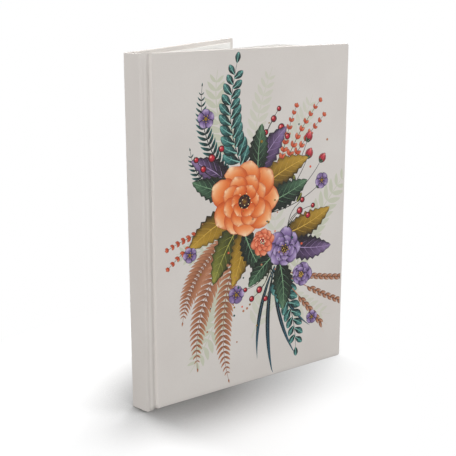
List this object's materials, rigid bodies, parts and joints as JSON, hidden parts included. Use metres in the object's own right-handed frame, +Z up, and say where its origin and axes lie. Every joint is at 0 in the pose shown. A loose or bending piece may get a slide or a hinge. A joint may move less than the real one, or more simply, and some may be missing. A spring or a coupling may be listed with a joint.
{
  "type": "weekly planner",
  "caption": "Case-bound planner standing slightly open: hinged covers with grooved joints and a sewn block of leaves that fan from the spine.",
  "frame": {"origin": "on the floor, at the bottom centre of the box that the standing planner fills", "axes": "+Z up along the spine, +X from the spine to the fore-edge midway between the covers, +Y from the front cover to the back cover"},
  "size_m": [0.1508, 0.0992, 0.216],
  "materials": {
    "printed_wrap": "matt laminated print",
    "grey_board": "pressed grey board",
    "endpaper": "uncoated",
    "leaf_paper": "uncoated",
    "kraft_lining": "kraft",
    "gauze": "starched open weave",
    "binder_glue": "dried adhesive",
    "band_cloth": "woven"
  },
  "bodies": {
    "spine": {"spine_wrap": "printed_wrap", "spine_board": "grey_board", "spine_lining": "kraft_lining", "mull": "gauze", "spine_glue": "binder_glue", "headband": "band_cloth", "tailband": "band_cloth"},
    "front_joint": {"front_joint_strip": "printed_wrap"},
    "front_cover": {"front_cover_wrap": "printed_wrap", "front_board": "grey_board", "front_pastedown": "endpaper"},
    "back_joint": {"back_joint_strip": "printed_wrap"},
    "back_cover": {"back_cover_wrap": "printed_wrap", "back_board": "grey_board", "back_pastedown": "endpaper"},
    "front_flyleaf": {"front_flyleaf": "endpaper"},
    "signature_01": {"signature_01": "leaf_paper"},
    "signature_02": {"signature_02": "leaf_paper"},
    "signature_03": {"signature_03": "leaf_paper"},
    "signature_04": {"signature_04": "leaf_paper"},
    "signature_05": {"signature_05": "leaf_paper"},
    "signature_06": {"signature_06": "leaf_paper"},
    "signature_07": {"signature_07": "leaf_paper"},
    "signature_08": {"signature_08": "leaf_paper"},
    "signature_09": {"signature_09": "leaf_paper"},
    "signature_10": {"signature_10": "leaf_paper"},
    "signature_11": {"signature_11": "leaf_paper"},
    "signature_12": {"signature_12": "leaf_paper"},
    "back_flyleaf": {"back_flyleaf": "endpaper"}
  },
  "joints": [
    {"name": "front_joint_fold", "type": "hinge", "parent": "spine", "child": "front_joint", "pos_m": [-0.0726, -0.00661, 0.108], "axis": [0, 0, -1], "range_deg": [-16.5, 43.5]},
    {"name": "front_cover_fold", "type": "hinge", "parent": "front_joint", "child": "front_cover", "pos_m": [-0.06808, -0.00774, 0.108], "axis": [0, 0, -1], "range_deg": [0, 120]},
    {"name": "back_joint_fold", "type": "hinge", "parent": "spine", "child": "back_joint", "pos_m": [-0.0726, 0.00661, 0.108], "axis": [0, 0, 1], "range_deg": [-16.5, 43.5]},
    {"name": "back_cover_fold", "type": "hinge", "parent": "back_joint", "child": "back_cover", "pos_m": [-0.06808, 0.00774, 0.108], "axis": [0, 0, 1], "range_deg": [0, 120]},
    {"name": "front_flyleaf_turn", "type": "hinge", "parent": "spine", "child": "front_flyleaf", "pos_m": [-0.0711, -0.004, 0.108], "axis": [0, 0, -1], "range_deg": [-15.4, 40.6]},
    {"name": "signature_01_turn", "type": "hinge", "parent": "spine", "child": "signature_01", "pos_m": [-0.0711, -0.00353, 0.108], "axis": [0, 0, -1], "range_deg": [-13.83, 36.47]},
    {"name": "signature_02_turn", "type": "hinge", "parent": "spine", "child": "signature_02", "pos_m": [-0.0711, -0.00289, 0.108], "axis": [0, 0, -1], "range_deg": [-13.05, 34.4]},
    {"name": "signature_03_turn", "type": "hinge", "parent": "spine", "child": "signature_03", "pos_m": [-0.0711, -0.00225, 0.108], "axis": [0, 0, -1], "range_deg": [-11.47, 30.25]},
    {"name": "signature_04_turn", "type": "hinge", "parent": "spine", "child": "signature_04", "pos_m": [-0.0711, -0.00161, 0.108], "axis": [0, 0, -1], "range_deg": [-9.91, 26.13]},
    {"name": "signature_05_turn", "type": "hinge", "parent": "spine", "child": "signature_05", "pos_m": [-0.0711, -0.00096, 0.108], "axis": [0, 0, -1], "range_deg": [-9.13, 24.06]},
    {"name": "signature_06_turn", "type": "hinge", "parent": "spine", "child": "signature_06", "pos_m": [-0.0711, -0.00032, 0.108], "axis": [0, 0, -1], "range_deg": [-7.54, 19.89]},
    {"name": "signature_07_turn", "type": "hinge", "parent": "spine", "child": "signature_07", "pos_m": [-0.0711, 0.00032, 0.108], "axis": [0, 0, -1], "range_deg": [-5.99, 15.8]},
    {"name": "signature_08_turn", "type": "hinge", "parent": "spine", "child": "signature_08", "pos_m": [-0.0711, 0.00096, 0.108], "axis": [0, 0, -1], "range_deg": [-5.21, 13.72]},
    {"name": "signature_09_turn", "type": "hinge", "parent": "spine", "child": "signature_09", "pos_m": [-0.0711, 0.00161, 0.108], "axis": [0, 0, -1], "range_deg": [-3.62, 9.53]},
    {"name": "signature_10_turn", "type": "hinge", "parent": "spine", "child": "signature_10", "pos_m": [-0.0711, 0.00225, 0.108], "axis": [0, 0, -1], "range_deg": [-2.07, 5.46]},
    {"name": "signature_11_turn", "type": "hinge", "parent": "spine", "child": "signature_11", "pos_m": [-0.0711, 0.00289, 0.108], "axis": [0, 0, -1], "range_deg": [-1.28, 3.39]},
    {"name": "signature_12_turn", "type": "hinge", "parent": "spine", "child": "signature_12", "pos_m": [-0.0711, 0.00353, 0.108], "axis": [0, 0, 1], "range_deg": [-0.31, 0.82]},
    {"name": "back_flyleaf_turn", "type": "hinge", "parent": "spine", "child": "back_flyleaf", "pos_m": [-0.0711, 0.004, 0.108], "axis": [0, 0, 1], "range_deg": [-1.6, 4.22]}
  ],
  "couplings": [
    {"joint": "front_flyleaf_turn", "follows": "front_joint_fold", "ratio": 0.93333},
    {"joint": "signature_01_turn", "follows": "front_joint_fold", "ratio": 0.83839},
    {"joint": "signature_02_turn", "follows": "front_joint_fold", "ratio": 0.79067},
    {"joint": "signature_03_turn", "follows": "front_joint_fold", "ratio": 0.69527},
    {"joint": "signature_04_turn", "follows": "front_joint_fold", "ratio": 0.60078},
    {"joint": "signature_05_turn", "follows": "front_joint_fold", "ratio": 0.55306},
    {"joint": "signature_06_turn", "follows": "front_joint_fold", "ratio": 0.4572},
    {"joint": "signature_07_turn", "follows": "front_joint_fold", "ratio": 0.36318},
    {"joint": "signature_08_turn", "follows": "front_joint_fold", "ratio": 0.31544},
    {"joint": "signature_09_turn", "follows": "front_joint_fold", "ratio": 0.21913},
    {"joint": "signature_10_turn", "follows": "front_joint_fold", "ratio": 0.12558},
    {"joint": "signature_11_turn", "follows": "front_joint_fold", "ratio": 0.077815},
    {"joint": "signature_12_turn", "follows": "back_joint_fold", "ratio": 0.018938},
    {"joint": "back_flyleaf_turn", "follows": "back_joint_fold", "ratio": 0.09697}
  ]
}
